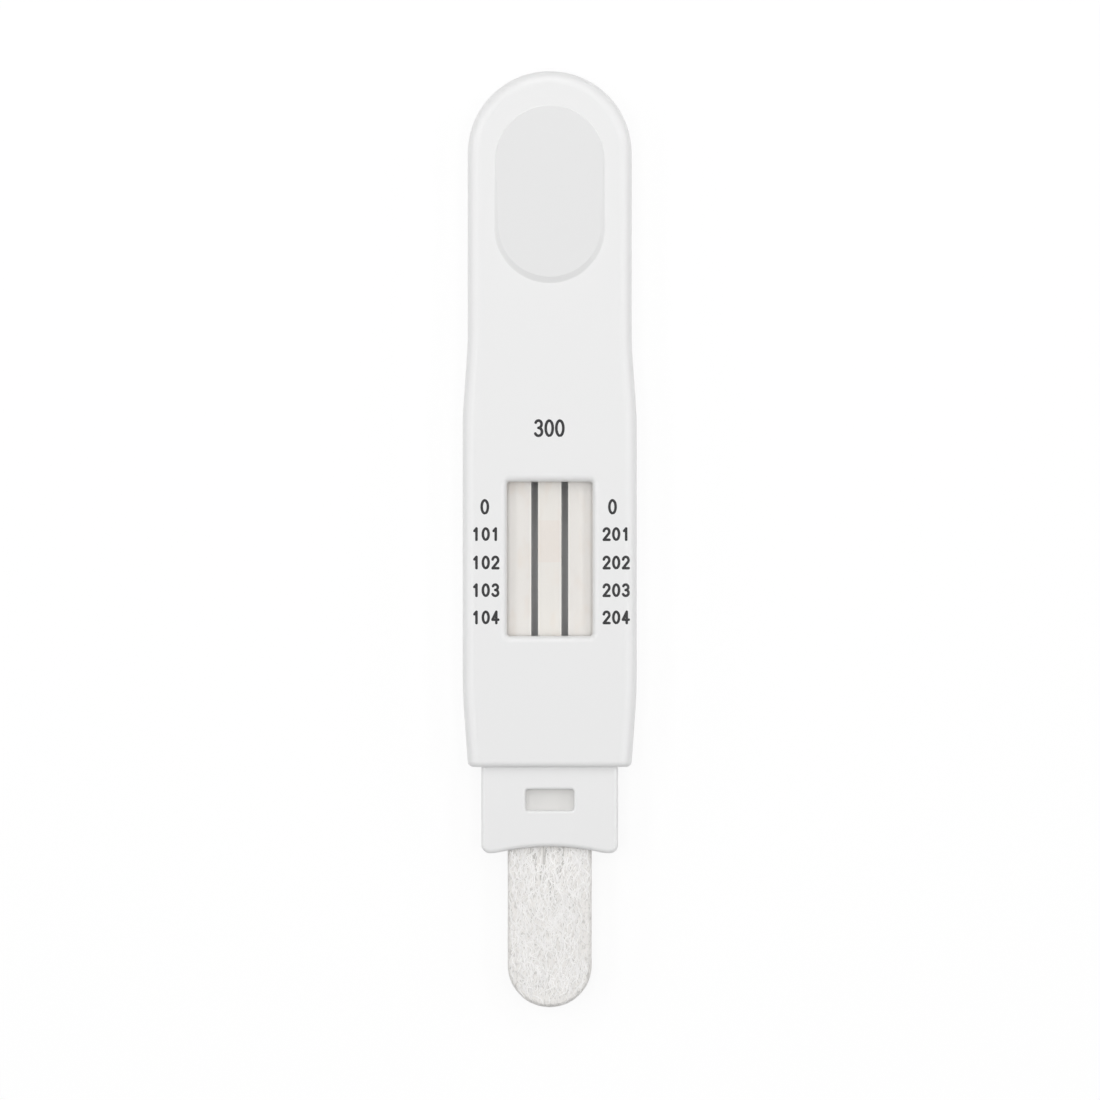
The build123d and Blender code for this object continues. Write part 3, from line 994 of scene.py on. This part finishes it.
def arc(centre: Pair, reach: Pair, start: float, end: float, points: int = 33) -> np.ndarray:
    """Stroke along an oval.

    Args:
        centre: Middle of the oval.
        reach: Its half width and half height.
        start: Angle at which the stroke starts, in degrees from +X.
        end: Angle at which it ends.
        points: Number of points along it.

    Returns:
        Points (centre + reach * (cos, sin)), one row each.
    """
    turn = np.radians(np.linspace(start, end, points))
    x = centre[0] + reach[0] * np.cos(turn)
    y = centre[1] + reach[1] * np.sin(turn)
    return np.stack([x, y], axis=-1)


def line(*places: Pair) -> np.ndarray:
    """Straight stroke between two places."""
    return np.array(places, float)


STROKES: dict[str, list[np.ndarray]] = {
    "0": [arc((0.0, 0.0), (0.5, 0.5), 90, 460)],
    "1": [line((-0.3, 0.28), (0.06, 0.5)), line((0.06, 0.5), (0.06, -0.5))],
    "2": [
        arc((0.0, 0.22), (0.48, 0.28), 170, -35),
        line((0.39, 0.06), (-0.48, -0.5)),
        line((-0.48, -0.5), (0.5, -0.5)),
    ],
    "3": [arc((-0.02, 0.26), (0.44, 0.24), 155, -90), arc((-0.02, -0.24), (0.5, 0.26), 90, -155)],
    "4": [
        line((0.16, 0.5), (-0.5, -0.2)),
        line((-0.5, -0.2), (0.5, -0.2)),
        line((0.16, 0.5), (0.16, -0.5)),
    ],
}


@dataclass(frozen=True)
class NumberStyle:
    """Size of printed digits, in millimetres."""

    width: float
    height: float
    pitch: float
    stroke: float = 0.41


@dataclass(frozen=True)
class PrintedNumbers:
    """Plain numbers printed on the front, each digit a few strokes with round ends.

    The places of the numbers are in millimetres. A column's x is that of its single digit, then
    that of its rows.
    """

    half_width: float
    face_z: float = 9.5 * MM
    roll: float = 2.0 * MM
    film: float = 0.012 * MM
    samples: int = 22
    end_samples: int = 6
    end_angle: float = 0.12
    leap: float = 0.02
    section_points: int = 12
    ink_colour: Colour = srgb(24, 24, 26)
    label: NumberStyle = NumberStyle(width=1.52, height=2.8, pitch=1.64, stroke=0.43)
    single: NumberStyle = NumberStyle(width=1.38, height=2.44, pitch=1.47)
    row: NumberStyle = NumberStyle(width=1.3, height=2.16, pitch=1.49)
    label_x: float = -0.08
    label_y: float = 17.2
    row_y: tuple[float, ...] = (5.03, 0.81, -3.59, -7.87, -12.08)
    left_x: Pair = (-10.05, -9.9)
    right_x: Pair = (9.71, 10.28)

    def surface_z(self, x: np.ndarray) -> np.ndarray:
        """Level of the casing's front: flat, then a quarter circle down over the rolled edge."""
        past = np.clip(np.abs(x) - (self.half_width - self.roll), 0, self.roll)
        return self.face_z - self.roll + np.sqrt(self.roll**2 - past**2)

    def stroke_points(self, path: np.ndarray, half: float) -> np.ndarray:
        """Points of one stroke: a lens section carried along the path, with round ends.

        The path is walked at even steps, and past each end by half a stroke, where the width
        follows a circle. The section's upper edge stands over the casing by the film's height and
        its lower edge is as far under it.

        Args:
            path: The stroke's middle line, in metres, one row a point.
            half: Half the stroke's width.

        Returns:
            An array of sections by points by three.
        """
        pieces = np.linalg.norm(np.diff(path, axis=0), axis=1)
        walked = np.concatenate([[0.0], np.cumsum(pieces)])
        length = walked[-1]

        def spot_at(place: np.ndarray) -> np.ndarray:
            """Points on the path at distances along it, held between its ends."""
            return np.stack([np.interp(place, walked, axis) for axis in path.T], axis=-1)

        swing = np.linspace(self.end_angle, np.pi / 2, self.end_samples)
        inner = np.linspace(0, length, self.samples)[1:-1]
        at = np.concatenate([-half * np.cos(swing), inner, length + half * np.cos(swing[::-1])])
        wide = np.concatenate([np.sin(swing), np.ones(len(inner)), np.sin(swing[::-1])])
        held = np.clip(at, 0, length)
        ahead = spot_at(held + self.leap * length) - spot_at(held - self.leap * length)
        ahead /= np.linalg.norm(ahead, axis=1, keepdims=True)
        spot = spot_at(held) + ahead * (at - held)[:, None]
        beside = np.stack([-ahead[:, 1], ahead[:, 0]], axis=-1)
        turn = np.linspace(0, 2 * np.pi, self.section_points, endpoint=False)
        plan = spot[:, None] + beside[:, None] * (half * wide[:, None] * np.cos(turn))[..., None]
        z = self.surface_z(plan[..., 0]) + self.film * np.sin(turn)
        return np.concatenate([plan, z[..., None]], axis=-1)

    def number(self, digits: str, x: float, y: float, style: NumberStyle) -> list[np.ndarray]:
        """Strokes of one number, centred on a place.

        Args:
            digits: The number.
            x: Middle of the number along X, in millimetres.
            y: Middle of the number along Y, in millimetres.
            style: Size of its digits.

        Returns:
            The points of each stroke.
        """
        half = style.stroke / 2 * MM
        cell = np.array([style.width - style.stroke, style.height - style.stroke]) * MM
        strokes = []
        for place, digit in enumerate(digits):
            centre = np.array([x + style.pitch * (place - (len(digits) - 1) / 2), y]) * MM
            strokes += [self.stroke_points(path * cell + centre, half) for path in STROKES[digit]]
        return strokes

    def piece(
        self, name: str, strokes: list[np.ndarray], material: bpy.types.Material
    ) -> bpy.types.Object:
        """Join strokes into one printed piece that rides on the casing."""
        points = np.stack(strokes)
        polygons = tube_polygons(*points.shape[:3])
        made = mesh_piece(name, points.reshape(-1, 3), polygons, material)
        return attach(made, "root")

    def build(self) -> list[bpy.types.Object]:
        """Print the number over the window and the two columns beside it."""
        ink = Ink("printing_ink", self.ink_colour).material()
        strokes = self.number("300", self.label_x, self.label_y, self.label)
        made = [self.piece("number_over_window", strokes, ink)]
        for side, x, hundreds in (("left", self.left_x, 100), ("right", self.right_x, 200)):
            strokes = self.number("0", x[0], self.row_y[0], self.single)
            for count, y in enumerate(self.row_y[1:], start=1):
                strokes += self.number(str(hundreds + count), x[1], y, self.row)
            made.append(self.piece(f"numbers_{side}_of_window", strokes, ink))
        return made


@dataclass(frozen=True)
class Softbox:
    """Rectangular soft light that hangs over the stick and faces its middle.

    One without a sheen leaves no reflection, as a light behind a polarising sheet does.
    """

    name: str
    turn: float
    tilt: float
    width: float
    glow: float
    length: float = 1.2
    distance: float = 0.9
    sheen: bool = True

    def build(self) -> None:
        """Hang the light at its turn from +X and its tilt from straight up.

        Its power is its glow times its area times pi, so a glow of 1 is white.
        """
        lamp = bpy.data.lights.new(self.name, "AREA")
        lamp.shape = "RECTANGLE"
        lamp.size = self.width
        lamp.size_y = self.length
        lamp.energy = self.glow * self.width * self.length * np.pi
        turn = np.radians(self.turn)
        tilt = np.radians(self.tilt)
        hung = bpy.data.objects.new(self.name, lamp)
        toward = (np.sin(tilt) * np.cos(turn), np.sin(tilt) * np.sin(turn), np.cos(tilt))
        hung.location = [self.distance * part for part in toward]
        hung.rotation_euler = (0.0, tilt, turn)
        hung.visible_glossy = self.sheen
        bpy.context.scene.collection.objects.link(hung)


@dataclass(frozen=True)
class Studio:
    """Pale floor, soft lights and a camera that looks straight down on the stick."""

    view_x: float = 0.04 * MM
    view_y: float = -1.65 * MM
    view_width: float = 170.4 * MM
    view_level: float = 6.5 * MM
    distance: float = 2.4
    sensor_mm: float = 36.0
    clip: Pair = (0.05, 20.0)
    sky: float = 0.11
    softboxes: tuple[Softbox, ...] = (
        Softbox("left_softbox", turn=180, tilt=34, width=0.14, glow=3.1),
        Softbox("right_softbox", turn=0, tilt=34, width=0.14, glow=3.1),
        Softbox("left_panel", turn=180, tilt=62, width=0.3, glow=1.65),
        Softbox("right_panel", turn=0, tilt=62, width=0.3, glow=1.7),
        Softbox("left_fill", turn=180, tilt=11, width=0.12, length=0.4, glow=7.6, sheen=False),
        Softbox("right_fill", turn=0, tilt=11, width=0.12, length=0.4, glow=7.4, sheen=False),
        Softbox("head_softbox", turn=90, tilt=50, width=0.3, length=0.3, glow=1.3, distance=0.45),
        Softbox(
            "top_fill", turn=110, tilt=22, width=0.25, length=0.7, glow=0.4, distance=0.37,
            sheen=False,
        ),
    )
    floor_side: float = 6.0
    floor_drop: float = 0.05 * MM
    floor_grey: float = 0.9
    shadow_share: float = 0.12

    def camera(self) -> None:
        """Camera above the stick, framed on the level of the silhouette."""
        lens = bpy.data.cameras.new("studio_camera")
        lens.sensor_width = self.sensor_mm
        lens.lens = self.sensor_mm * self.distance / self.view_width
        lens.clip_start, lens.clip_end = self.clip
        eye = bpy.data.objects.new("studio_camera", lens)
        eye.location = (self.view_x, self.view_y, self.view_level + self.distance)
        bpy.context.scene.collection.objects.link(eye)
        bpy.context.scene.camera = eye

    def world(self) -> None:
        """Even sky, which the camera, mirrors and glass see as plain white."""
        board = NodeBoard(bpy.data.worlds.new("studio_sky"))
        bpy.context.scene.world = board.owner
        inputs = {"Value": board.plain_sight(), "To Min": self.sky, "To Max": 1.0}
        level = board.field("ShaderNodeMapRange", 0, {}, inputs)
        glow = board.field("ShaderNodeBackground", 0, {}, {"Color": WHITE, "Strength": level})
        board.node("ShaderNodeOutputWorld", {}, {"Surface": glow})

    def floor(self) -> None:
        """Plain floor: white to the camera and mirrors with a pale shadow, grey to other light."""
        board = NodeBoard(bpy.data.materials.new("studio_floor"))
        seen = board.plain_sight()
        grey = (self.floor_grey,) * 3 + (1.0,)
        plain = board.field("ShaderNodeBsdfDiffuse", 0, {}, {"Color": grey})
        white = board.field("ShaderNodeBsdfDiffuse", 0, {}, {"Color": WHITE})
        glow = board.field("ShaderNodeEmission", 0, {}, {"Color": WHITE, "Strength": 1.0})
        mix = {0: self.shadow_share, 1: glow, 2: white}
        bright = board.field("ShaderNodeMixShader", 0, {}, mix)
        surface = board.field("ShaderNodeMixShader", 0, {}, {0: seen, 1: plain, 2: bright})
        board.node("ShaderNodeOutputMaterial", {}, {"Surface": surface})
        half = self.floor_side / 2
        corners = ((-half, -half), (half, -half), (half, half), (-half, half))
        points = np.array([(x, y, -self.floor_drop) for x, y in corners])
        floor = mesh_piece("studio_floor", points, [np.array([[0, 1, 2, 3]])], board.owner)

    def build(self) -> None:
        """Set up the whole studio."""
        self.camera()
        self.world()
        for softbox in self.softboxes:
            softbox.build()
        self.floor()
        bpy.context.scene.view_settings.view_transform = "Standard"


def main() -> None:
    """Build the studio and the pieces in order, and report each piece."""
    logging.basicConfig(level=logging.INFO, format="%(name)s: %(message)s")
    Studio().build()
    Casing().dress()
    strips = TestStrips()
    strips.dress()
    strips.dress_indicator()
    low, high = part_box("collector_pad")
    pieces = CollectorPad(tuple(low), tuple(high)).build()
    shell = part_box("front_shell")
    pieces += PrintedNumbers(half_width=shell[1].x).build()
    for piece in pieces:
        log.info("%s: %d faces", piece.name, len(piece.data.polygons))


if __name__ == "__main__":
    main()
